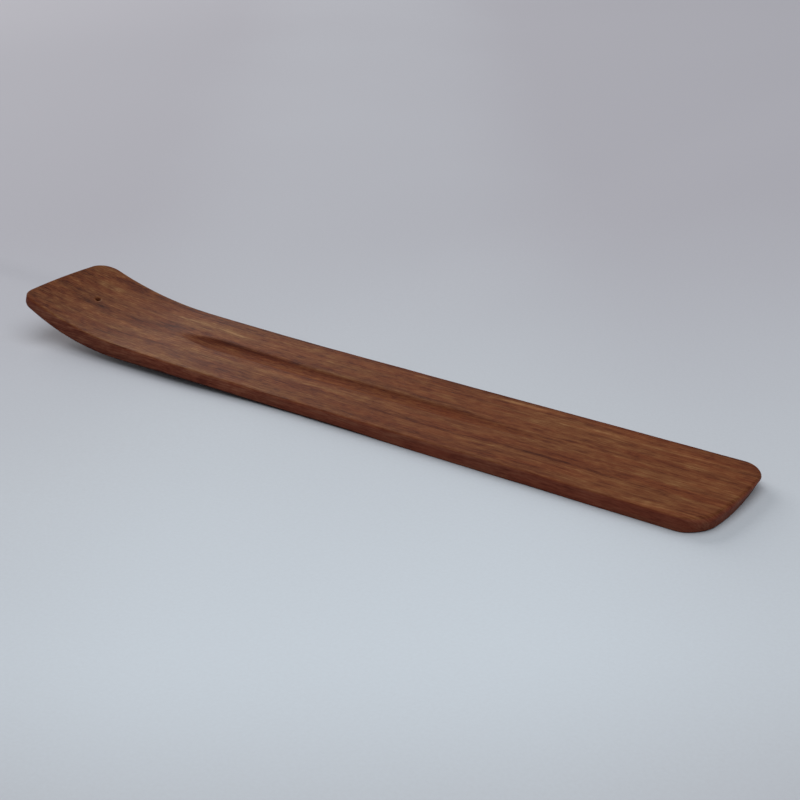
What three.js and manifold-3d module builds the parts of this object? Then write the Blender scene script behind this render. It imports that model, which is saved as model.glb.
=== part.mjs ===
// A one-piece wooden incense stick holder of the long, upturned-runner kind.
//
// One strip of hardwood lies flat for half of its length, leaves the table very gently, and
// sweeps up at one end. A small hole near the raised tip holds the stick, square to the raised
// surface, so that the stick leans back over the strip. A shallow round-bottomed groove along
// the middle catches the ash. Nothing is fastened on: the whole object is sawn, routed and
// sanded from one blank, so it is one mesh.
//
// Frame: millimetres, +Z up. The origin is on the table under the middle of the outer box.
// The flat end is at +X and the raised end is at -X.

import * as THREE from "three";
import { mergeVertices } from "three/addons/utils/BufferGeometryUtils.js";
import Module from "manifold-3d";

const wasm = await Module();
wasm.setup();

// Overall size
const LENGTH = 250;
const WIDTH = 38;
const THICKNESS = 4.2;

// Side view. Distances run along the top surface from the flat end.
const LIFT_START = 132; // the underside rests on the table up to here
const LIFT_RADIUS = 3000; // then the strip leaves the table very gently
const BEND_START = 190;
const BEND_EASE = 26; // over this length the gentle lift tightens into the bend
const BEND_RADIUS = 142;
const BEND_SWELL = 1; // the strip is thicker where it bends
const SWELL_START = 165;
const SWELL_EASE = 55; // over this length it gains the swell
const TIP_THICKNESS = 2.8;
const TIP_TAPER = 30; // length over which it thins to the tip
const SURFACE_STEP = 0.25; // step for following the top surface
const CURVE_STEP = 4; // length of one facet on the curved stretch

// Edges
const ARRIS = 0.6; // easing of the long edges
const NOSE = 1.5; // rounding of the flat end's top edge
const FOOT = 0.8; // rounding of the flat end's bottom edge
const TIP_ROUNDING = 0.9; // how far the tip's face bulges
const TIP_FACE_POINTS = [0.75, 0.5, 0.25]; // depths on the tip's face, as parts of its thickness
const ARC_STEPS = 4;

// Plan view of each end: a shallow crown between two rounded corners.
// The near side is -Y and the far side is +Y.
const FLAT_END = { crown: 100, nearCorner: 8.5, farCorner: 8 };
const RAISED_END = { crown: 210, nearCorner: 4, farCorner: 6.8 };

// Ash groove, cut by a round-nosed cutter that runs in quickly and runs out slowly
const GROOVE_START = 199; // its bend-side tip, as a distance along the top from the flat end
const GROOVE_END = 41;
const GROOVE_RADIUS = 5.6;
const GROOVE_DEPTH_AT_START = 1.5;
const GROOVE_DEPTH_AT_END = 0.85;
const GROOVE_RUN_IN = 0.12; // parts of the groove's length
const GROOVE_RUN_OUT = 0.34;
const GROOVE_LIFT_OFF = 0.15; // the cutter clears the wood by this much at both tips
const GROOVE_LIFT_POWER = 8; // a high power, so that it lifts only close to the tips
const GROOVE_SHIFT = 0.5; // the groove lies this far to the +Y side of the middle
const GROOVE_SECTIONS = 24;
const GROOVE_SIDES = 48;

// Stick hole, right through and square to the raised surface
const HOLE_DIAMETER = 1.8;
const HOLE_FROM_TIP = 16.7;
const HOLE_SIDES = 24;

const CLEARANCE = 10; // cutters reach this far past the wood
const MERGE_DISTANCE = 1e-4; // corners closer than this become one corner

// Rises smoothly from 0, at t = 0 and below, to 1, at t = 1 and above
function smooth(t) {
  return THREE.MathUtils.smoothstep(t, 0, 1);
}

function curvatureAt(distance) {
  if (distance < LIFT_START) return 0;
  const bend = smooth((distance - BEND_START) / BEND_EASE);
  return (1 - bend) / LIFT_RADIUS + bend / BEND_RADIUS;
}

// Follows the top surface from the flat end until the strip spans LENGTH on the table.
// Each station holds its distance, its place in the side view, and its tilt.
function followTopSurface() {
  const stations = [{ distance: 0, x: LENGTH / 2, z: THICKNESS, tilt: 0 }];
  const reach = ({ x, tilt }) => x - Math.sin(tilt) * TIP_THICKNESS / 2;
  while (reach(stations.at(-1)) > -LENGTH / 2) {
    const { distance, x, z, tilt } = stations.at(-1);
    const turned = tilt + curvatureAt(distance + SURFACE_STEP / 2) * SURFACE_STEP;
    stations.push({
      distance: distance + SURFACE_STEP,
      x: x - Math.cos(turned) * SURFACE_STEP,
      z: z + Math.sin(turned) * SURFACE_STEP,
      tilt: turned,
    });
  }
  return stations;
}

const topSurface = followTopSurface();
const tip = topSurface.at(-1);

function stationAt(distance) {
  return topSurface[Math.round(distance / SURFACE_STEP)];
}

function thicknessAt(distance) {
  const swell = BEND_SWELL * smooth((distance - SWELL_START) / SWELL_EASE);
  const fromTip = (tip.distance - distance) / TIP_TAPER;
  const taper = THREE.MathUtils.clamp(1 - fromTip, 0, 1) ** 2;
  return THICKNESS + swell - taper * (THICKNESS + BEND_SWELL - TIP_THICKNESS);
}

// The point of the side view that is `depth` below the top surface, square to it
function pointBelow(distance, depth) {
  const { x, z, tilt } = stationAt(distance);
  return new THREE.Vector2(x - Math.sin(tilt) * depth, z - Math.cos(tilt) * depth);
}

// The side view: underside, raised tip, top, then the rounded flat end
function sideView() {
  const flatEnd = LENGTH / 2;
  const curveEnd = tip.distance - TIP_ROUNDING;
  const facets = Math.round((curveEnd - LIFT_START) / CURVE_STEP);
  const distances = Array.from({ length: facets + 1 }, (_, i) =>
    THREE.MathUtils.lerp(LIFT_START, curveEnd, i / facets));
  const underside = distances.map((distance) => pointBelow(distance, thicknessAt(distance)));
  const tipFace = TIP_FACE_POINTS.map((part) => {
    const bulge = TIP_ROUNDING * Math.sqrt(1 - (2 * part - 1) ** 2);
    return pointBelow(curveEnd + bulge, TIP_THICKNESS * part);
  });
  const top = distances.map((distance) => pointBelow(distance, 0)).reverse();

  const shape = new THREE.Shape([...underside, ...tipFace, ...top]);
  shape.absarc(flatEnd - NOSE, THICKNESS - NOSE, NOSE, Math.PI / 2, 0, true);
  shape.absarc(flatEnd - FOOT, FOOT, FOOT, 0, -Math.PI / 2, true);
  return shape;
}

// The strip with square ends in plan and its long edges eased
function strip() {
  const geometry = new THREE.ExtrudeGeometry(sideView(), {
    depth: WIDTH - 2 * ARRIS,
    bevelThickness: ARRIS,
    bevelSize: ARRIS,
    bevelOffset: -ARRIS,
    bevelSegments: 2,
    curveSegments: ARC_STEPS,
  });
  geometry.rotateX(Math.PI / 2);
  geometry.translate(0, WIDTH / 2 - ARRIS, 0);
  return geometry;
}

// What is cut away to round one end in plan. The finished end points along +X, and its
// outermost point is at the origin.
function endWaste({ crown, nearCorner, farCorner }) {
  const half = WIDTH / 2;
  const outside = half + CLEARANCE;
  const cornerCentre = (radius, y) =>
    new THREE.Vector2(Math.sqrt((crown - radius) ** 2 - y ** 2) - crown, y);
  const near = cornerCentre(nearCorner, nearCorner - half);
  const far = cornerCentre(farCorner, half - farCorner);
  const nearAngle = Math.atan2(near.y, near.x + crown);
  const farAngle = Math.atan2(far.y, far.x + crown);

  const outline = new THREE.Shape();
  outline.moveTo(CLEARANCE, -outside);
  outline.lineTo(near.x, -outside);
  outline.absarc(near.x, near.y, nearCorner, -Math.PI / 2, nearAngle, false);
  outline.absarc(-crown, 0, crown, nearAngle, farAngle, false);
  outline.absarc(far.x, far.y, farCorner, farAngle, Math.PI / 2, false);
  outline.lineTo(far.x, outside);
  outline.lineTo(CLEARANCE, outside);
  const geometry = new THREE.ExtrudeGeometry(outline, {
    depth: 2 * CLEARANCE,
    bevelEnabled: false,
    curveSegments: ARC_STEPS,
  });
  return geometry.translate(0, 0, -CLEARANCE);
}

function flatEndWaste() {
  return endWaste(FLAT_END).translate(LENGTH / 2, 0, 0);
}

// Half a turn about Z points it along -X and swaps its corners; then it tilts with the tip
function raisedEndWaste() {
  const { crown, nearCorner, farCorner } = RAISED_END;
  const face = pointBelow(tip.distance, TIP_THICKNESS / 2);
  return endWaste({ crown, nearCorner: farCorner, farCorner: nearCorner })
    .rotateZ(Math.PI)
    .rotateY(tip.tilt)
    .translate(face.x, 0, face.y);
}

// Depth of the groove, from t = 0 at its bend-side tip to t = 1 at its other tip
function grooveDepth(t) {
  const depth = THREE.MathUtils.lerp(GROOVE_DEPTH_AT_START, GROOVE_DEPTH_AT_END, t);
  return depth * smooth(t / GROOVE_RUN_IN) * smooth((1 - t) / GROOVE_RUN_OUT);
}

// The space the cutter sweeps: a long spindle turned about a level axis above the strip
function grooveCutter() {
  const axisHeight = THICKNESS + GROOVE_RADIUS - GROOVE_DEPTH_AT_START;
  const profile = [];
  for (let i = 0; i <= GROOVE_SECTIONS; i += 1) {
    const t = i / GROOVE_SECTIONS;
    const { x, z } = stationAt(THREE.MathUtils.lerp(GROOVE_END, GROOVE_START, t));
    const radius = axisHeight - z + grooveDepth(1 - t) - GROOVE_LIFT_OFF * (2 * t - 1) ** GROOVE_LIFT_POWER;
    profile.push(new THREE.Vector2(radius, -x));
  }
  profile.unshift(new THREE.Vector2(0, profile[0].y));
  profile.push(new THREE.Vector2(0, profile.at(-1).y));
  const geometry = new THREE.LatheGeometry(profile, GROOVE_SIDES);
  return geometry.rotateZ(Math.PI / 2).translate(0, GROOVE_SHIFT, axisHeight);
}

function holeCutter() {
  const { x, z, tilt } = stationAt(tip.distance - HOLE_FROM_TIP);
  const radius = HOLE_DIAMETER / 2;
  return new THREE.CylinderGeometry(radius, radius, 2 * CLEARANCE, HOLE_SIDES)
    .rotateX(Math.PI / 2)
    .rotateY(tilt)
    .translate(x, 0, z);
}

function toSolid(geometry) {
  geometry.deleteAttribute("normal");
  geometry.deleteAttribute("uv");
  const merged = mergeVertices(geometry, MERGE_DISTANCE);
  return new wasm.Manifold(new wasm.Mesh({
    numProp: 3,
    vertProperties: merged.attributes.position.array,
    triVerts: merged.index.array,
  }));
}

function toGeometry(solid) {
  const { vertProperties, triVerts } = solid.getMesh();
  const geometry = new THREE.BufferGeometry();
  geometry.setAttribute("position", new THREE.BufferAttribute(vertProperties, 3));
  geometry.setIndex(new THREE.BufferAttribute(triVerts, 1));
  return geometry;
}

// Moves the outer box's middle over the origin, without leaving the table
function centreOnTable(geometry) {
  geometry.computeBoundingBox();
  const { min, max } = geometry.boundingBox;
  return geometry.translate(-(min.x + max.x) / 2, -(min.y + max.y) / 2, -min.z);
}

function holderBody() {
  const cutters = [flatEndWaste(), raisedEndWaste(), grooveCutter(), holeCutter()];
  const solid = cutters.reduce(
    (wood, cutter) => wood.subtract(toSolid(cutter)),
    toSolid(strip()),
  );
  const geometry = centreOnTable(toGeometry(solid));
  geometry.computeVertexNormals();
  const wood = new THREE.MeshStandardMaterial({ color: 0x6b4630, roughness: 0.55, metalness: 0 });
  const mesh = new THREE.Mesh(geometry, wood);
  mesh.name = "holder_body";
  return mesh;
}

const holder = new THREE.Group();
holder.add(holderBody());

export default holder;
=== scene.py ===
"""Looks for a one-piece wooden incense stick holder: a long strip with one end swept up.

The CAD body is replaced by a fine mesh of its shape, with worn edges, hand-sanded unevenness, a
chipped lip at the stick hole and a flat end that leans in a little underneath. Its wood is
procedural and solid: the grain runs through the object, so the sides and the ends show it as well.

Shape sizes are in millimetres, and MM turns them into Blender's metres. X runs along the length,
with the flat end at +X and the raised end at -X. Places on the strip are given by `along`, the
distance from the flat end along the top surface, and by `across`, which is Y.
"""

import math

import bpy
import numpy as np
from mathutils import Matrix, Vector


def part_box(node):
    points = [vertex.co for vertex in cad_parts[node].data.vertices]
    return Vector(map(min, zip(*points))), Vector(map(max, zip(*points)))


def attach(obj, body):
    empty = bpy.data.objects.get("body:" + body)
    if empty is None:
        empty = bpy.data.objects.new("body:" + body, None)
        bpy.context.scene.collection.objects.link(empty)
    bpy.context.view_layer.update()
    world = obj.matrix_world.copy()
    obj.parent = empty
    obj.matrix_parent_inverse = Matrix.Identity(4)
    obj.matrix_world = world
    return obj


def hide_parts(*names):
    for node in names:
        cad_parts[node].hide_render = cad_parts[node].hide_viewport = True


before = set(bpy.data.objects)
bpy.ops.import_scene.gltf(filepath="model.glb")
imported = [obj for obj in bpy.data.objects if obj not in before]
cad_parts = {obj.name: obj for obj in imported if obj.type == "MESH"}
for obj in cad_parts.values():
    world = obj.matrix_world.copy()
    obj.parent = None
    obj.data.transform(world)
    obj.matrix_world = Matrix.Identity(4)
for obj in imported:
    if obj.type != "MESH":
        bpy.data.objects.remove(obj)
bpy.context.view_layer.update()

MM = 0.001

# ---------------------------------------------------------------- sizes, as in the design
BODY_LOW, BODY_HIGH = (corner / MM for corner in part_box("holder_body"))
FLAT_END_X = BODY_HIGH.x
RAISED_END_X = BODY_LOW.x
HALF_WIDTH = (BODY_HIGH.y - BODY_LOW.y) / 2
THICKNESS = 4.2

LIFT_START = 132
LIFT_RADIUS = 3000
BEND_START = 190
BEND_EASE = 26
BEND_RADIUS = 142
BEND_SWELL = 1.0
SWELL_START = 165
SWELL_EASE = 55
TIP_THICKNESS = 2.8
TIP_TAPER = 30
SURFACE_STEP = 0.05

FLAT_END = {"crown": 100, "near_corner": 8.5, "far_corner": 8}
RAISED_END = {"crown": 210, "near_corner": 4, "far_corner": 6.8}

GROOVE_START = 199
GROOVE_END = 41
GROOVE_RADIUS = 5.6
GROOVE_DEPTH_AT_START = 1.5
GROOVE_DEPTH_AT_END = 0.85
GROOVE_RUN_IN = 0.12
GROOVE_RUN_OUT = 0.34
GROOVE_SHIFT = 0.5

FLAT_END_UNDERCUT = 1.6  # only here: the flat end leans in below, most at its far corner
LEAST_UNDERCUT = 0.5  # and least at its near corner

HOLE_RADIUS = 0.9
HOLE_FROM_TIP = 16.7
HOLE_EXIT_EASE = 0.15  # only here: easing of the hole's edge on the underside
HOLE_CHIP_ANGLE = math.radians(-40)  # the drill lifted a splinter on this side

# ---------------------------------------------------------------- hand finishing, only here
# how much the edges are rounded: the usual amount, its unevenness, and what each place adds
TOP_EDGE = {"usual": 0.32, "uneven": 0.06, "near": 0.3, "flat_end": 0.9, "raised_end": -0.1}
TOP_EDGE_LESS_AT_FAR = 0.5
BOTTOM_EDGE = {"usual": 0.3, "uneven": 0.08, "past_flat": 0.55, "flat_end": 0.3, "raised_end": 0.8}
BOTTOM_EDGE_LESS_AT_TIP = 0.5
DENTS = [(153, 5, 0.22), (131, 4, 0.2), (100, 6, 0.15)]  # near edge: along, half length, depth
SANDED_IN = 0.05  # the sides are sanded in by this much
SANDED_IN_UNEVEN = 0.045
SANDED_DOWN = 0.03  # and the top surface by this much
SIDE_HOLLOW = 0.04  # half way down, the sides are hollow by about this much

# ---------------------------------------------------------------- the wood's own figure
RING_SLOPE = 0.8  # growth layers lean over by this much sideways for each unit of height
# streaks on the top surface: along and across at both ends, half width, and tone
FIGURE = [
    (248, -4.0, 190, 1.0, 2.4, -0.55),  # brown band round the stick hole
    (222, -2.0, 200, 3.2, 0.9, -0.35),
    (246, 16.0, 216, 15.0, 2.0, -0.40),
    (228, -12.5, 184, -8.3, 0.5, -0.80),  # long dark line over the bend
    (190, -8.6, 118, -9.0, 0.5, -0.30),
    (119, -10.0, 70, -10.0, 0.45, -0.80),
    (80, -8.9, 26, -8.7, 0.45, -0.80),
    (66, 10.0, 12, 10.0, 0.5, -0.60),
    (100, 6.5, 30, 5.5, 0.6, -0.30),
    (246, 9.0, 218, 9.5, 1.8, 0.55),
    (226, -6.0, 190, -4.6, 1.8, 0.60),
    (216, 10.0, 168, 9.0, 3.2, 0.50),
    (216, -14.5, 170, -14.0, 2.6, 0.35),
    (165, -6.2, 112, -6.0, 1.1, 0.40),
    (80, 13.0, 3, 13.0, 1.6, 0.40),
    (50, -13.5, 0, -12.5, 4.5, 0.45),  # tan corner by the flat end
    (86, 16.6, 66, 16.2, 0.7, 1.30),  # pale rubbed places by the far edge
    (116, 16.8, 108, 16.6, 0.6, 0.90),
]

# ---------------------------------------------------------------- groove tint and painted shade, by place
GROOVE_TINT_DEPTH = 0.5  # the groove's tint is full at this depth
# painted shade on the groove's far wall, the wall turned away from the light
WALL_PROBE = 0.4  # the wall's fall is measured this far to either side
WALL_LEAST_FALL = 0.05
WALL_FALL_RANGE = 0.55
WALL_FADE = 0.55  # the wall's painted shade loses this share towards the flat end
WALL_FADE_START = 185
WALL_FADE_LENGTH = 60
RUN_IN_SHADE = 0.6  # painted shade over the whole groove at its bend-side tip
RUN_IN_SHADE_LENGTH = 34
RUN_IN_SHADE_RISE = 26
# painted shade where the sides lean in, low on the sides, on the bottom edges and underneath, and
# how much of it is kept along the strip
LEANING_SHADE = 0.6
LOW_SIDE_SHADE = 0.3
UNDERSIDE_SHADE = 0.25
UNDER_LEAST = 0.2
UNDER_PAST_FLAT = 0.8
UNDER_BY_FLAT_END = 0.6
# painted shade on the far top edge
FAR_EDGE_SHADE = 0.75

# ---------------------------------------------------------------- fineness of the mesh
CELLS_ALONG = 400
CELLS_ACROSS = 64
HOLE_BLOCK = 8  # the hole is let into a square of this many cells
ARC_POINTS = 60
EDGE_ANGLES = [15, 30, 45, 60, 75, 90]


# ---------------------------------------------------------------- helpers
def smooth(t):
    """Rises smoothly from 0, at t = 0 and below, to 1, at t = 1 and above."""
    t = np.clip(t, 0, 1)
    return t * t * (3 - 2 * t)


def bump(value, centre, width):
    """A smooth bump of height 1 at `centre`."""
    return np.exp(-((value - centre) / width) ** 2)


def wander(value, wavelength, seed):
    """Smooth repeatable noise of one variable, about -1 to 1."""
    knots = np.random.default_rng(seed).uniform(-1, 1, 512)
    place = np.asarray(value, float) / wavelength + 100
    whole = np.floor(place).astype(int)
    part = smooth(place - whole)
    return knots[whole % 512] * (1 - part) + knots[(whole + 1) % 512] * part


def wander2(a, b, wavelength_a, wavelength_b, seed):
    """Smooth repeatable noise of two variables, about -1 to 1."""
    table = np.random.default_rng(seed).uniform(-1, 1, (128, 128))
    place_a = np.asarray(a, float) / wavelength_a + 200
    place_b = np.asarray(b, float) / wavelength_b + 200
    whole_a, whole_b = np.floor(place_a).astype(int), np.floor(place_b).astype(int)
    part_a, part_b = smooth(place_a - whole_a), smooth(place_b - whole_b)

    def corner(step_a, step_b):
        return table[(whole_a + step_a) % 128, (whole_b + step_b) % 128]

    low = corner(0, 0) * (1 - part_a) + corner(1, 0) * part_a
    high = corner(0, 1) * (1 - part_a) + corner(1, 1) * part_a
    return low * (1 - part_b) + high * part_b


# ---------------------------------------------------------------- side view of the strip
def follow_top_surface():
    """Follows the top surface from the flat end to the raised end: along, x, z and tilt."""
    longest = (FLAT_END_X - RAISED_END_X) * 1.02
    along = np.arange(0, longest, SURFACE_STEP)
    middle = along + SURFACE_STEP / 2
    bend = smooth((middle - BEND_START) / BEND_EASE)
    curvature = np.where(middle < LIFT_START, 0, (1 - bend) / LIFT_RADIUS + bend / BEND_RADIUS)
    tilt = np.concatenate([[0], np.cumsum(curvature * SURFACE_STEP)[:-1]])
    x = FLAT_END_X - np.concatenate([[0], np.cumsum(np.cos(tilt) * SURFACE_STEP)[:-1]])
    z = THICKNESS + np.concatenate([[0], np.cumsum(np.sin(tilt) * SURFACE_STEP)[:-1]])
    inside = x - np.sin(tilt) * (TIP_THICKNESS - 1) > RAISED_END_X
    return along[inside], x[inside], z[inside], tilt[inside]


TOP_ALONG, TOP_X, TOP_Z, TOP_TILT = follow_top_surface()
TIP = TOP_ALONG[-1]


def thickness_at(along):
    """The strip's thickness: it swells into the bend and thins to the raised tip."""
    swell = BEND_SWELL * smooth((along - SWELL_START) / SWELL_EASE)
    taper = np.clip(1 - (TIP - along) / TIP_TAPER, 0, 1) ** 2
    return THICKNESS + swell - taper * (THICKNESS + BEND_SWELL - TIP_THICKNESS)


def place(along, across, depth):
    """The point `depth` below the top surface, square to it, as an array of x, y, z."""
    tilt = np.interp(along, TOP_ALONG, TOP_TILT)
    x = np.interp(along, TOP_ALONG, TOP_X) - np.minimum(along, 0)
    z = np.interp(along, TOP_ALONG, TOP_Z)
    return np.stack([x - np.sin(tilt) * depth, across, z - np.cos(tilt) * depth], -1)


def groove_depth(along, across):
    """How deep a round-nosed cutter goes at a place on the top surface, with a soft lip."""
    t = (GROOVE_START - along) / (GROOVE_START - GROOVE_END)
    deepest = GROOVE_DEPTH_AT_START + (GROOVE_DEPTH_AT_END - GROOVE_DEPTH_AT_START) * t
    deepest = deepest * smooth(t / GROOVE_RUN_IN) * smooth((1 - t) / GROOVE_RUN_OUT)
    deepest = deepest * (1 + 0.06 * wander(along, 11, 5))
    middle = GROOVE_SHIFT + 0.25 * wander(along, 34, 6)
    offset = np.minimum(np.abs(across - middle), GROOVE_RADIUS * 0.98)
    depth = deepest - GROOVE_RADIUS + np.sqrt(GROOVE_RADIUS ** 2 - offset ** 2)
    softness = 0.07
    return (depth + np.sqrt(depth ** 2 + softness ** 2)) / 2 * (deepest > 0.02)


# ---------------------------------------------------------------- plan view of the strip
# Plan points are (u, across), where u is -along, so that u grows towards the flat end as X does.
def end_arcs(tip, direction, crown, near_corner, far_corner):
    """Dense points of one rounded end, from the near side to the far side, with outward normals.

    `direction` is +1 for the flat end and -1 for the raised end.
    """
    near_y, far_y = near_corner - HALF_WIDTH, HALF_WIDTH - far_corner
    near_u = math.sqrt((crown - near_corner) ** 2 - near_y ** 2) - crown
    far_u = math.sqrt((crown - far_corner) ** 2 - far_y ** 2) - crown
    near_angle = math.atan2(near_y, near_u + crown)
    far_angle = math.atan2(far_y, far_u + crown)
    points, normals = [], []
    for centre, radius, start, stop in (
        ((near_u, near_y), near_corner, -math.pi / 2, near_angle),
        ((-crown, 0), crown, near_angle, far_angle),
        ((far_u, far_y), far_corner, far_angle, math.pi / 2),
    ):
        angle = np.linspace(start, stop, ARC_POINTS)
        normal = np.stack([np.cos(angle), np.sin(angle)], -1)
        points.append((centre + radius * normal) * (direction, 1) + (tip, 0))
        normals.append(normal * (direction, 1))
    return np.concatenate(points), np.concatenate(normals)


def resample(values, length, count):
    """`count` evenly spaced rows of `values`, whose rows are `length` along a line; no last one."""
    wanted = np.linspace(length[0], length[-1], count, endpoint=False)
    return np.stack([np.interp(wanted, length, column) for column in values.T], -1)


def plan_outline():
    """Points and outward normals round the plan, counter-clockwise.

    They start in the middle of the raised end's near corner. Each long side has CELLS_ALONG
    points and each end has CELLS_ACROSS, and they meet in the middle of the corners.
    """
    flat, raised = end_arcs(0, 1, **FLAT_END), end_arcs(-TIP, -1, **RAISED_END)
    points, normals = (np.concatenate([a, b[::-1]]) for a, b in zip(flat, raised))
    points, normals = (np.roll(values, ARC_POINTS // 2, axis=0) for values in (points, normals))
    points, normals = (np.concatenate([values, values[:1]]) for values in (points, normals))
    steps = np.linalg.norm(np.diff(points, axis=0), axis=1)
    length = np.concatenate([[0], np.cumsum(steps)])
    stops = [0, ARC_POINTS, 3 * ARC_POINTS, 4 * ARC_POINTS, 6 * ARC_POINTS]
    counts = [CELLS_ALONG, CELLS_ACROSS, CELLS_ALONG, CELLS_ACROSS]
    sides = []
    for start, stop, count in zip(stops, stops[1:], counts):
        span = slice(start, stop + 1)
        both = np.concatenate([points[span], normals[span]], axis=1)
        sides.append(resample(both, length[span], count))
    loop = np.concatenate(sides)
    normals = loop[:, 2:] / np.linalg.norm(loop[:, 2:], axis=1)[:, None]
    return loop[:, :2], normals


def boundary_cells():
    """Grid places (i, j) of the outline's points, in the same order."""
    along, across = CELLS_ALONG, CELLS_ACROSS
    near = [(i, 0) for i in range(along)]
    flat = [(along, j) for j in range(across)]
    far = [(along - i, across) for i in range(along)]
    raised = [(0, across - j) for j in range(across)]
    return np.array(near + flat + far + raised)


def fill_plan(loop):
    """A grid of plan points inside a closed loop: a Coons patch between its four sides."""
    grid = np.zeros((CELLS_ALONG + 1, CELLS_ACROSS + 1, 2))
    cells = boundary_cells()
    grid[cells[:, 0], cells[:, 1]] = loop
    i = np.linspace(0, 1, CELLS_ALONG + 1)[:, None, None]
    j = np.linspace(0, 1, CELLS_ACROSS + 1)[None, :, None]
    sides = (1 - j) * grid[:, :1] + j * grid[:, -1:] + (1 - i) * grid[:1] + i * grid[-1:]
    corners = ((1 - i) * ((1 - j) * grid[0, 0] + j * grid[0, -1])
               + i * ((1 - j) * grid[-1, 0] + j * grid[-1, -1]))
    return sides - corners


# ---------------------------------------------------------------- the strip's fine mesh
def unevenness(along, across):
    """How far hand sanding has left the top surface below true."""
    slow = wander2(along, across, 26, 13, 11)
    quick = wander2(along, across, 9, 6, 12)
    return SANDED_DOWN + 0.02 * slow + 0.008 * quick


def edge_sizes(plan, normals):
    """Edge easing and undercut for each outline point.

    Gives how much the top and the bottom edges are rounded, how far the side is cut under from
    top to bottom, and how far hand sanding has moved it in.
    """
    along = -plan[:, 0]
    near = smooth(-normals[:, 1])
    flat_end = smooth(normals[:, 0] * 1.3 - 0.2)
    raised_end = smooth(-normals[:, 0] * 1.3 - 0.2)
    far_part = smooth((plan[:, 1] + 12) / 28)
    dents = sum(depth * bump(along, where, half) for where, half, depth in DENTS)
    top = TOP_EDGE["usual"] + TOP_EDGE["uneven"] * wander(along, 8, 21)
    top = top + near * (TOP_EDGE["near"] + dents)
    top = top + flat_end * (TOP_EDGE["flat_end"] - TOP_EDGE_LESS_AT_FAR * far_part)
    top = top + TOP_EDGE["raised_end"] * raised_end
    bottom = BOTTOM_EDGE["usual"] + BOTTOM_EDGE["past_flat"] * smooth((along - 85) / 35)
    bottom = bottom - BOTTOM_EDGE_LESS_AT_TIP * smooth((along - 195) / 25)
    bottom = bottom + BOTTOM_EDGE["uneven"] * wander(along, 10, 22)
    bottom = bottom + BOTTOM_EDGE["flat_end"] * flat_end + BOTTOM_EDGE["raised_end"] * raised_end
    undercut = flat_end * (LEAST_UNDERCUT + (FLAT_END_UNDERCUT - LEAST_UNDERCUT) * far_part)
    wobble = SANDED_IN + SANDED_IN_UNEVEN * wander(along + 400 * near, 15, 23)
    return top, bottom, undercut, wobble


class MeshParts:
    """Vertices with their paint values, and faces, gathered before the mesh is made."""

    def __init__(self):
        self.points, self.faces = [], []
        # the paints: the groove's tint, painted shade on the groove wall and far edge, painted
        # shade low down, and raw wood with painted light at the stick hole
        self.paints = {"groove": [], "wall": [], "under": [], "fresh": []}
        self.count = 0

    def add(self, points, **paints):
        """Adds rows of points, with 0 for any paint not given, and returns their numbers."""
        points = np.asarray(points).reshape(-1, 3)
        numbers = np.arange(self.count, self.count + len(points))
        self.points.append(points)
        for name, values in self.paints.items():
            values.append(np.broadcast_to(np.ravel(paints.get(name, 0.0)), len(points)))
        self.count += len(points)
        return numbers

    def bridge(self, outer, inner):
        """Faces between two closed loops; seen from outside, `outer` runs counter-clockwise."""
        self.faces.append(np.stack(
            [outer, np.roll(outer, -1), np.roll(inner, -1), inner], -1))

    def grid(self, numbers, skip, flip):
        """Faces over a grid of vertex numbers, but for the cells in the block `skip`."""
        quads = np.stack(
            [numbers[:-1, :-1], numbers[1:, :-1], numbers[1:, 1:], numbers[:-1, 1:]], -1)
        keep = np.ones(quads.shape[:2], bool)
        keep[skip] = False
        quads = quads[keep]
        self.faces.append(quads[:, ::-1] if flip else quads)


def block_loop(values, block):
    """The values round a block of cells, counter-clockwise as the outline is."""
    rows, columns = block
    part = values[rows.start:rows.stop + 1, columns.start:columns.stop + 1]
    return np.concatenate([part[:-1, 0], part[-1, :-1], part[:0:-1, -1], part[0, :0:-1]])


def add_stick_hole(parts, top_loop, bottom_loop, plan_points):
    """Lets the round hole into the square gaps left in the top and in the underside."""
    centre = np.array([HOLE_FROM_TIP - TIP, 0])
    angle = np.arctan2(*(plan_points - centre).T[::-1])
    direction = np.stack([np.cos(angle), np.sin(angle)], -1)
    rim = HOLE_RADIUS * (1 + 0.03 * np.cos(2 * angle) + 0.02 * np.sin(5 * angle))
    chip = ((1 + np.cos(angle - HOLE_CHIP_ANGLE)) / 2) ** 6
    thickness = thickness_at(TIP - HOLE_FROM_TIP)

    # the hole's lip and inside get raw-wood colour, fullest at the chip, which also paints light
    # into the hole's shaded inside
    def ring(out, depth):
        plan = centre + direction * (rim + out)[:, None]
        return parts.add(place(-plan[:, 0], plan[:, 1], depth), fresh=0.3 + 0.7 * chip)

    def square_to_round(part, out, depth):
        plan = plan_points * (1 - part) + (centre + direction * (rim + out)[:, None]) * part
        return parts.add(place(-plan[:, 0], plan[:, 1], depth))

    surface = unevenness(TIP - HOLE_FROM_TIP, 0)
    lip = 0.25 + 0.45 * chip
    loops = [top_loop]
    for part in (0.4, 0.75):
        loops.append(square_to_round(part, lip + 0.1, surface))
    loops.append(ring(lip + 0.1, surface))
    loops.append(ring(lip * 0.4, surface + 0.12 + 0.15 * chip))
    loops.append(ring(0, surface + 0.4 + 0.3 * chip))
    for level in (0.3, 0.5, 0.75):
        loops.append(ring(0, thickness * level))
    loops.append(ring(0, thickness - HOLE_EXIT_EASE))
    loops.append(ring(HOLE_EXIT_EASE, thickness))
    for part in (0.75, 0.4):
        loops.append(square_to_round(part, HOLE_EXIT_EASE, thickness))
    loops.append(bottom_loop)
    for outer, inner in zip(loops, loops[1:]):
        parts.bridge(outer, inner)


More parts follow.
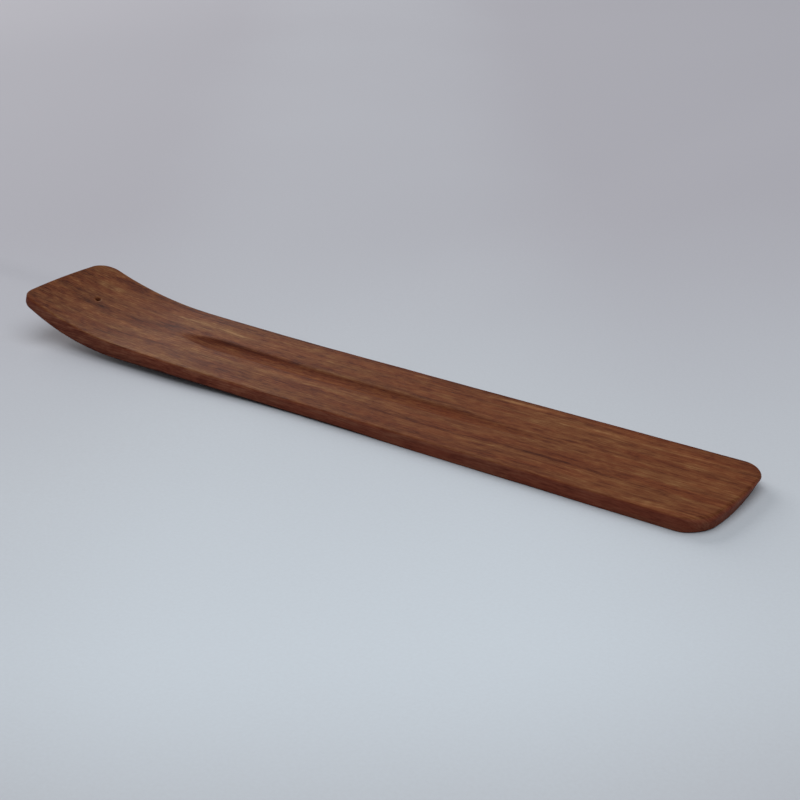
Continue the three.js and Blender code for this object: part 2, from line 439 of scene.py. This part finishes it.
def groove_paints(along, across):
    """How much the groove's tint and the painted shade on its far wall and tip show at a place."""
    groove = smooth(groove_depth(along, across) / GROOVE_TINT_DEPTH)
    fall = (groove_depth(along, across - WALL_PROBE)
            - groove_depth(along, across + WALL_PROBE))
    fade = 1 - WALL_FADE * smooth((WALL_FADE_START - along) / WALL_FADE_LENGTH)
    wall = smooth((fall - WALL_LEAST_FALL) / WALL_FALL_RANGE) * fade
    run_in = smooth((along - GROOVE_START + RUN_IN_SHADE_LENGTH) / RUN_IN_SHADE_RISE)
    return groove, np.maximum(wall, RUN_IN_SHADE * groove * run_in)


def side_shade(level, undercut):
    """Painted shade on a side, which grows where the side leans in and near its bottom edge."""
    leaning = LEANING_SHADE * level * undercut / FLAT_END_UNDERCUT
    return leaning + LOW_SIDE_SHADE * smooth((level - 0.6) / 0.4)


def under_share(along):
    """How much of the painted shade low on the sides and below is kept: least over the flat half.
    """
    past_flat = smooth((along - 85) / 30)
    by_flat_end = smooth((12 - along) / 8)
    return UNDER_LEAST + UNDER_PAST_FLAT * past_flat + UNDER_BY_FLAT_END * by_flat_end


def far_edge_shade(points, along):
    """Painted shade on the far top edge, over the flat half of the strip."""
    at_edge = smooth((points[:, 1] - HALF_WIDTH + 1.5) / 0.9) * smooth((150 - along) / 60)
    near_top = smooth((points[:, 2] - THICKNESS + 2) / 1.2)
    return FAR_EDGE_SHADE * at_edge * near_top


def strip_mesh():
    """The whole strip as one closed mesh: top, eased edges, sides, underside and stick hole."""
    parts = MeshParts()
    outline, normals = plan_outline()
    top_ease, bottom_ease, undercut, wobble = edge_sizes(outline, normals)
    cells = boundary_cells()

    def inner_plan(inset):
        """The outline moved in by `inset`."""
        return outline - normals * (inset + wobble)[:, None]

    def add_loop(inset, depth, level, under=0.0):
        """A loop round the strip; `level` goes from 0 at the top of the side to 1 below it."""
        plan = inner_plan(inset + undercut * level)
        points = place(-plan[:, 0], plan[:, 1], depth(-plan[:, 0], plan[:, 1]))
        return parts.add(points, under=under)

    # top surface
    top_plan = fill_plan(inner_plan(top_ease))
    along, across = -top_plan[..., 0], top_plan[..., 1]
    depth = unevenness(along, across) + groove_depth(along, across)
    # the groove's tint, and painted shade on its far wall and at its tip
    groove, wall = groove_paints(along, across)
    top = parts.add(place(along, across, depth), groove=groove, wall=wall).reshape(along.shape)
    hole_row = int(np.argmin(np.abs(along[:, CELLS_ACROSS // 2] - (TIP - HOLE_FROM_TIP))))
    half = HOLE_BLOCK // 2
    block = (slice(hole_row - half, hole_row + half),
             slice(CELLS_ACROSS // 2 - half, CELLS_ACROSS // 2 + half))
    parts.grid(top, block, flip=False)

    # eased edges and sides, as loops from the top down
    loops = [top[cells[:, 0], cells[:, 1]]]
    for angle in np.radians(EDGE_ANGLES):
        loops.append(add_loop(
            top_ease * (1 - math.sin(angle)),
            lambda a, c: unevenness(a, c) + top_ease * (1 - math.cos(angle)),
            level=0))
    hollow = SIDE_HOLLOW * (1 + wander(outline[:, 0], 12, 24))
    # the sides get painted shade where they lean in and near the bottom
    for level in (0.2, 0.4, 0.6, 0.8):
        loops.append(add_loop(
            hollow * bump(level, 0.5, 0.3),
            lambda a, c: (1 - level) * (top_ease + unevenness(a, c))
            + level * (thickness_at(a) - bottom_ease),
            level,
            under=side_shade(level, undercut)))
    # the bottom edges get painted shade, fullest where they turn under
    for angle in np.radians([0] + EDGE_ANGLES):
        loops.append(add_loop(
            bottom_ease * (1 - math.cos(angle)),
            lambda a, c: thickness_at(a) - bottom_ease * (1 - math.sin(angle)),
            level=1, under=math.sqrt(math.sin(angle))))

    # underside, whose outline is the last loop
    bottom_plan = fill_plan(inner_plan(bottom_ease + undercut))
    along, across = -bottom_plan[..., 0], bottom_plan[..., 1]
    # the underside gets painted shade too
    bottom = parts.add(place(along, across, thickness_at(along)), under=UNDERSIDE_SHADE)
    bottom = bottom.reshape(along.shape)
    bottom[cells[:, 0], cells[:, 1]] = loops[-1]
    parts.grid(bottom, block, flip=True)

    for upper, lower in zip(loops, loops[1:]):
        parts.bridge(lower, upper)
    add_stick_hole(parts, block_loop(top, block), block_loop(bottom, block),
                   block_loop(top_plan, block))
    return parts


def without_loose(points, faces, paints):
    """Drops the vertices that no face uses, and renumbers the faces."""
    used = np.unique(faces)
    new_number = np.zeros(len(points), int)
    new_number[used] = np.arange(len(used))
    paints = {name: values[used] for name, values in paints.items()}
    return points[used], new_number[faces], paints


def wood_figure(points):
    """The strip's own light and dark streaks, as a tone from about -1 to 1 at each point."""
    along = FLAT_END_X - points[:, 0]
    surface_z = np.interp(along, TOP_ALONG, TOP_Z)
    below = RING_SLOPE * (points[:, 2] - surface_z)
    tone = np.zeros(len(points))
    for start, start_y, end, end_y, half_width, strength in FIGURE:
        t = (along - start) / (end - start)
        fade = smooth(t / 0.25) * smooth((1 - t) / 0.25)
        middle = start_y + (end_y - start_y) * np.clip(t, 0, 1) + 0.3 * wander(along, 14, 41)
        tone += strength * fade * bump(points[:, 1] + below, middle, half_width)
    return tone


def make_strip(name, material):
    """The shaded strip, with its paint values as mesh attributes."""
    parts = strip_mesh()
    points, faces, paints = without_loose(
        np.concatenate(parts.points),
        np.concatenate(parts.faces),
        {name: np.concatenate(values) for name, values in parts.paints.items()},
    )
    mesh = bpy.data.meshes.new(name)
    mesh.from_pydata((points * MM).tolist(), [], faces.tolist())
    along = FLAT_END_X - points[:, 0]
    paints["under"] *= under_share(along)
    paints["figure"] = wood_figure(points)
    # painted shade on the far top edge joins the groove wall's painted shade
    paints["wall"] = np.maximum(paints["wall"], far_edge_shade(points, along))
    for title, values in paints.items():
        attribute = mesh.attributes.new(title, "FLOAT", "POINT")
        attribute.data.foreach_set("value", values.astype(np.float32))
    mesh.shade_smooth()
    mesh.materials.append(material)
    made = bpy.data.objects.new(name, mesh)
    bpy.context.scene.collection.objects.link(made)
    return made


# ---------------------------------------------------------------- materials
class Paint:
    """Short names for building one material out of shader nodes."""

    def __init__(self, name):
        self.material = bpy.data.materials.new(name)
        self.material.use_nodes = True
        self.tree = self.material.node_tree
        self.shader = self.tree.nodes["Principled BSDF"]

    def feed(self, socket, value):
        """Links a socket to `value` if that is an output, and else sets it."""
        if isinstance(value, bpy.types.NodeSocket):
            self.tree.links.new(value, socket)
        else:
            socket.default_value = value

    def node(self, kind, values=(), **settings):
        made = self.tree.nodes.new(kind)
        for setting, value in settings.items():
            setattr(made, setting, value)
        for socket, value in zip(made.inputs, values):
            self.feed(socket, value)
        return made

    def math(self, operation, *values):
        return self.node("ShaderNodeMath", values, operation=operation).outputs[0]

    def sum(self, *values):
        total = values[0]
        for value in values[1:]:
            total = self.math("ADD", total, value)
        return total

    def scaled(self, value, factor):
        return self.math("MULTIPLY", value, factor)

    def weighted(self, layers, weights):
        """The layers named in `weights`, each scaled by its weight."""
        return [self.scaled(layers[name], weight) for name, weight in weights.items()]

    def object_position(self):
        """X, Y and Z outputs in millimetres, in the object's own space."""
        place = self.node("ShaderNodeTexCoord").outputs["Object"]
        parts = self.node("ShaderNodeSeparateXYZ", [place])
        return [self.scaled(part, 1 / MM) for part in parts.outputs]

    def attribute(self, name):
        return self.node("ShaderNodeAttribute", attribute_name=name).outputs["Fac"]

    def noise(self, axes, sizes, seed, detail=2.0):
        """Noise of about -1 to 1, stretched to `sizes` millimetres along each axis."""
        stretched = [self.scaled(axis, 1 / size) for axis, size in zip(axes, sizes)]
        stretched[-1] = self.sum(stretched[-1], seed * 7.3)
        place = self.node("ShaderNodeCombineXYZ", stretched).outputs[0]
        made = self.node("ShaderNodeTexNoise")
        self.feed(made.inputs["Vector"], place)
        made.inputs["Scale"].default_value = 1
        made.inputs["Detail"].default_value = detail
        return self.math("MULTIPLY_ADD", made.outputs["Fac"], 4, -2)

    def fade(self, value, start, stop, low=0.0, high=1.0):
        """Goes smoothly from `low` to `high` as value goes from `start` to `stop`."""
        values = [value, start, stop, low, high]
        return self.node("ShaderNodeMapRange", values, interpolation_type="SMOOTHSTEP").outputs[0]

    def colours(self, value, stops):
        """A colour ramp; `stops` are pairs of value and colour."""
        ramp = self.node("ShaderNodeValToRGB", [value])
        elements = ramp.color_ramp.elements
        while len(elements) < len(stops):
            elements.new(0.5)
        for element, (position, colour) in zip(elements, stops):
            element.position = position
            element.color = colour
        return ramp.outputs["Color"]

    def mix(self, amount, first, second, blend="MIX"):
        made = self.node("ShaderNodeMix", data_type="RGBA", blend_type=blend)
        self.feed(made.inputs[0], amount)
        self.feed(made.inputs[6], first)
        self.feed(made.inputs[7], second)
        return made.outputs[2]


def srgb(red, green, blue):
    """A colour for a socket from its usual 0 to 255 values."""
    linear = []
    for value in (red, green, blue):
        value = value / 255
        linear.append(value / 12.92 if value <= 0.04045 else ((value + 0.055) / 1.055) ** 2.4)
    return (*linear, 1.0)


WOOD_TONES = [
    (0.0, srgb(44, 18, 9)),
    (0.3, srgb(86, 43, 24)),
    (0.5, srgb(108, 62, 36)),
    (0.72, srgb(124, 82, 50)),
    (1.0, srgb(151, 112, 74)),
]
REDDER = (1.02, 0.85, 0.82, 1)
# painted light on the sides and the ends: lighter and bluer than the top
PAINTED_SIDE_LIGHT = (1.25, 1.1, 1.7, 1)
GROOVE_TINT = (0.90, 0.70, 0.62, 1)
# painted shade on the groove's far wall, at its tip and on the far top edge
PAINTED_WALL_AND_EDGE_SHADE = (0.50, 0.34, 0.32, 1)
# painted shade low on the sides, on the bottom edges and underneath
PAINTED_UNDER_SHADE = (0.16, 0.16, 0.20, 1)
# raw wood at the stick hole, which also paints light into the hole's shaded inside
RAW_WOOD_AND_LIGHT = srgb(150, 100, 62)
# the cloth's colours, from the darkest to the brightest painted light
CLOTH_TONES = [
    (0.0, srgb(178, 177, 186)),
    (0.5, srgb(198, 203, 211)),
    (1.0, srgb(219, 229, 239)),
]
# how much each layer of the wood shifts its tone, its roughness and its relief
TONE_WEIGHTS = {
    "bands": 0.17,
    "streaks": 0.13,
    "fibres": 0.26,
    "grain": 0.22,
    "mottle": 0.15,
    "lines": -0.22,
    "pores": -0.30,
    "figure": 0.34,
}
ROUGHNESS_WEIGHTS = {"fibres": 0.05, "pores": 0.12, "groove": 0.15, "mottle": 0.04}
RELIEF_WEIGHTS = {"fibres": 0.010, "pores": -0.05, "streaks": 0.012, "mottle": 0.012}
WOOD_ROUGHNESS = 0.58
WOOD_SPECULAR = 0.06
RELIEF_STRENGTH = 0.8
SIDE_CONTRAST_LOSS = 0.25
CLOTH_ROUGHNESS = 0.9
CLOTH_SPECULAR = 0.2


def oiled_hardwood():
    """Reddish brown hardwood in Object coordinates, with long grain along X.

    Growth layers are sheets of constant `ring`, tilted by RING_SLOPE, so that the figure moves
    sideways over the bend and shows as fine lines on the sides.
    """
    paint = Paint("oiled_hardwood")
    x, y, z = paint.object_position()
    flat_ring = paint.sum(y, paint.scaled(paint.sum(z, -THICKNESS), RING_SLOPE))
    long_wave = paint.scaled(paint.noise((x, z), (80, 40), 1), 1.1)
    short_wave = paint.scaled(paint.noise((x, flat_ring, z), (20, 9, 9), 2), 0.3)
    ring = paint.sum(flat_ring, long_wave, short_wave)
    depth = paint.sum(z, paint.scaled(y, -0.3))

    bands = paint.noise((x, ring, depth), (130, 4.2, 9), 3)
    streaks = paint.noise((x, ring, depth), (42, 1.4, 5), 4, detail=3)
    fibres = paint.noise((x, ring, depth), (8, 0.36, 1.5), 5, detail=4)
    grain = paint.noise((x, ring, depth), (2.4, 0.24, 0.7), 14, detail=2)
    mottle = paint.noise((x, y, z), (5, 3, 3), 6, detail=3)
    line_places = paint.noise((x, ring, depth), (210, 2.6, 12), 7, detail=0)
    lines = paint.fade(paint.math("ABSOLUTE", line_places), 0.02, 0.1, 1, 0)
    where_lines = paint.fade(paint.noise((x, ring, depth), (32, 6, 6), 8), -0.1, 0.5)
    lines = paint.math("MULTIPLY", lines, where_lines)
    pores = paint.fade(paint.noise((x, ring, depth), (2.6, 0.24, 0.8), 9, detail=1), 0.75, 1.25)

    groove = paint.attribute("groove")
    # the sides and the ends are plainer cut wood; this mask also puts painted light on them
    normal = paint.node("ShaderNodeTexCoord").outputs["Normal"]
    upward = paint.math("ABSOLUTE", paint.node("ShaderNodeSeparateXYZ", [normal]).outputs[2])
    upright = paint.fade(upward, 0.88, 0.4)
    over_the_bend = paint.fade(x, 40, -60, 0.75, 1.02)
    contrast = paint.math("MULTIPLY_ADD", upright, -SIDE_CONTRAST_LOSS, over_the_bend)
    layers = {
        "bands": bands,
        "streaks": streaks,
        "fibres": fibres,
        "grain": grain,
        "mottle": mottle,
        "lines": lines,
        "pores": pores,
        "groove": groove,
        "figure": paint.attribute("figure"),
    }
    figure = paint.sum(*paint.weighted(layers, TONE_WEIGHTS))
    tone = paint.sum(0.5, paint.math("MULTIPLY", figure, contrast))
    colour = paint.colours(tone, WOOD_TONES)
    redness = paint.fade(paint.noise((x, ring, depth), (24, 3.2, 8), 10), -0.7, 0.7)
    colour = paint.mix(redness, colour, REDDER, "MULTIPLY")

    # painted light: the sides and the ends are made lighter and bluer than the top
    colour = paint.mix(paint.scaled(upright, 0.85), colour, PAINTED_SIDE_LIGHT, "MULTIPLY")
    colour = paint.mix(paint.scaled(groove, 0.7), colour, GROOVE_TINT, "MULTIPLY")
    # painted shade on the groove's far wall, at its tip and on the far top edge
    colour = paint.mix(paint.attribute("wall"), colour, PAINTED_WALL_AND_EDGE_SHADE, "MULTIPLY")
    # painted shade low on the sides, on the bottom edges and underneath
    colour = paint.mix(paint.attribute("under"), colour, PAINTED_UNDER_SHADE, "MULTIPLY")
    # raw wood at the stick hole's chip, and painted light in the hole's shaded inside
    colour = paint.mix(paint.scaled(paint.attribute("fresh"), 0.7), colour, RAW_WOOD_AND_LIGHT)
    paint.feed(paint.shader.inputs["Base Color"], colour)

    dullness = paint.sum(WOOD_ROUGHNESS, *paint.weighted(layers, ROUGHNESS_WEIGHTS))
    paint.feed(paint.shader.inputs["Roughness"], dullness)
    paint.shader.inputs["Specular IOR Level"].default_value = WOOD_SPECULAR

    relief = paint.sum(*paint.weighted(layers, RELIEF_WEIGHTS))
    raised = paint.node("ShaderNodeBump")
    raised.inputs["Strength"].default_value = RELIEF_STRENGTH
    raised.inputs["Distance"].default_value = MM
    paint.feed(raised.inputs["Height"], relief)
    paint.feed(paint.shader.inputs["Normal"], raised.outputs["Normal"])
    return paint.material


def pale_cloth():
    """The smooth pale cloth that the holder lies on; its tone attribute paints light into its
    colour.
    """
    paint = Paint("pale_cloth")
    x, y, z = paint.object_position()
    clouds = paint.noise((x, y, z), (170, 170, 170), 12)
    weave = paint.noise((x, y, z), (0.9, 0.9, 0.9), 13)
    tone = paint.sum(paint.attribute("tone"), paint.scaled(clouds, 0.03),
                     paint.scaled(weave, 0.03))
    paint.feed(paint.shader.inputs["Base Color"], paint.colours(tone, CLOTH_TONES))
    paint.shader.inputs["Roughness"].default_value = CLOTH_ROUGHNESS
    paint.shader.inputs["Specular IOR Level"].default_value = CLOTH_SPECULAR
    return paint.material


# ---------------------------------------------------------------- the object
wood = oiled_hardwood()
strip = make_strip("incense_holder", wood)
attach(strip, "root")
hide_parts("holder_body")


# ---------------------------------------------------------------- floor, light and camera
# the cloth, in millimetres
CLOTH_HALF_SIZE = 3000
CLOTH_LINES = 241  # lines of the cloth's grid each way
CLOTH_CROWDING = 2.2  # a power, which brings the lines together near the holder
CLOTH_GAP = 0.02
CLOTH_DIP = 1.75
CLOTH_DIP_BESIDE = 0.38  # share of the dip that is left beside the strip
FOLD_HEIGHT = 5
FOLDS_FROM = 300  # there are no folds nearer to the holder than this
FOLDS_EASE = 500
# painted light on the cloth: its colour is brightest in a band in front of the holder, darker
# behind it, in front of it and to the sides
TONE_AT_BACK = 0.14
TONE_GAIN = 0.73
TONE_REACH = 215  # the tone grows from this far behind the holder to this far in front
TONE_FRONT_LOSS = 0.60
TONE_SIDE_LOSS = 0.15

# angles in degrees: azimuth from -Y towards +X, elevation, and roll; places in metres
CAMERA_ANGLES = (37.66, 23.99, -1.46)
CAMERA_AIM = (0.01087, 0.00799, -0.00072)
CAMERA_DISTANCE = 0.4747
CAMERA_LENS = 71.95

WINDOW = {"location": (-2.4, 1.0, 0.9), "size": 1.8, "power": 55, "colour": (1, 0.98, 0.95)}
CEILING = {"location": (0.25, 0.0, 1.3), "size": 1.9, "power": 13, "colour": (0.98, 1, 1)}
LIGHT_AIM = (0, 0, 0)
ROOM_COLOUR = (0.96, 0.98, 1, 1)
ROOM_STRENGTH = 0.22


def painted_cloth_light(x, y):
    """Painted light on the cloth: how bright its colour is at each place.

    The tone is fixed on the cloth, but its direction is the main camera's azimuth: it is palest
    in a band in front of the holder as that camera sees it.
    """
    azimuth = math.radians(CAMERA_ANGLES[0])
    towards_viewer = x * math.sin(azimuth) - y * math.cos(azimuth)
    sideways = np.abs(x * math.cos(azimuth) + y * math.sin(azimuth))
    tone = TONE_AT_BACK + TONE_GAIN * smooth((towards_viewer + TONE_REACH) / (2 * TONE_REACH))
    tone = tone - TONE_FRONT_LOSS * smooth((towards_viewer - 130) / 110)
    return tone - TONE_SIDE_LOSS * smooth((sideways - 30) / 80)


def make_cloth(material):
    """A wide cloth with soft low folds far behind the holder, and a slight dip under its bend."""
    steps = np.linspace(-1, 1, CLOTH_LINES)
    side = CLOTH_HALF_SIZE * np.sign(steps) * np.abs(steps) ** CLOTH_CROWDING
    x, y = np.meshgrid(side, side, indexing="ij")
    away = smooth((np.hypot(x, y) - FOLDS_FROM) / FOLDS_EASE)
    folds = FOLD_HEIGHT * wander2(0.6 * x + 0.8 * y, 0.8 * x - 0.6 * y, 420, 190, 51)
    below = smooth((HALF_WIDTH + 8 - np.abs(y)) / 10)
    below_strip = CLOTH_DIP_BESIDE + (1 - CLOTH_DIP_BESIDE) * below
    z = away * folds - CLOTH_DIP * below_strip * smooth((-5 - x) / 60) - CLOTH_GAP
    points = np.stack([x, y, z], -1).reshape(-1, 3) * MM
    numbers = np.arange(len(points)).reshape(x.shape)
    faces = np.stack(
        [numbers[:-1, :-1], numbers[1:, :-1], numbers[1:, 1:], numbers[:-1, 1:]], -1)
    mesh = bpy.data.meshes.new("cloth")
    mesh.from_pydata(points.tolist(), [], faces.reshape(-1, 4).tolist())
    # painted light, stored as the cloth's tone
    attribute = mesh.attributes.new("tone", "FLOAT", "POINT")
    attribute.data.foreach_set("value", painted_cloth_light(x, y).ravel().astype(np.float32))
    mesh.shade_smooth()
    mesh.materials.append(material)
    made = bpy.data.objects.new("cloth", mesh)
    bpy.context.scene.collection.objects.link(made)
    return made


def add_soft_light(name, location, size, power, colour):
    """A square area light at `location`, in metres, turned to the holder's middle."""
    light = bpy.data.lights.new(name, "AREA")
    light.size = size
    light.energy = power
    light.color = colour
    made = bpy.data.objects.new(name, light)
    made.location = location
    made.rotation_euler = (Vector(LIGHT_AIM) - Vector(location)).to_track_quat("-Z", "Y").to_euler()
    bpy.context.scene.collection.objects.link(made)


def add_world(colour, strength):
    """Even light from all round."""
    world = bpy.data.worlds.new("room")
    world.use_nodes = True
    background = world.node_tree.nodes["Background"]
    background.inputs["Color"].default_value = colour
    background.inputs["Strength"].default_value = strength
    bpy.context.scene.world = world


def add_camera():
    """Looks down the strip from its flat end's near side, turned slightly about its own axis."""
    azimuth, elevation, roll = (math.radians(angle) for angle in CAMERA_ANGLES)
    back = Vector((
        math.sin(azimuth) * math.cos(elevation),
        -math.cos(azimuth) * math.cos(elevation),
        math.sin(elevation),
    ))
    data = bpy.data.cameras.new("camera")
    data.lens = CAMERA_LENS
    data.sensor_width = 36
    data.clip_start = 0.01
    made = bpy.data.objects.new("camera", data)
    made.location = Vector(CAMERA_AIM) + back * CAMERA_DISTANCE
    turn = (-back).to_track_quat("-Z", "Y").to_matrix() @ Matrix.Rotation(roll, 3, "Z")
    made.rotation_euler = turn.to_euler()
    bpy.context.scene.collection.objects.link(made)
    bpy.context.scene.camera = made


cloth = make_cloth(pale_cloth())
add_soft_light("window", **WINDOW)
add_soft_light("ceiling", **CEILING)
add_world(ROOM_COLOUR, ROOM_STRENGTH)
add_camera()
bpy.context.scene.view_settings.view_transform = "Standard"
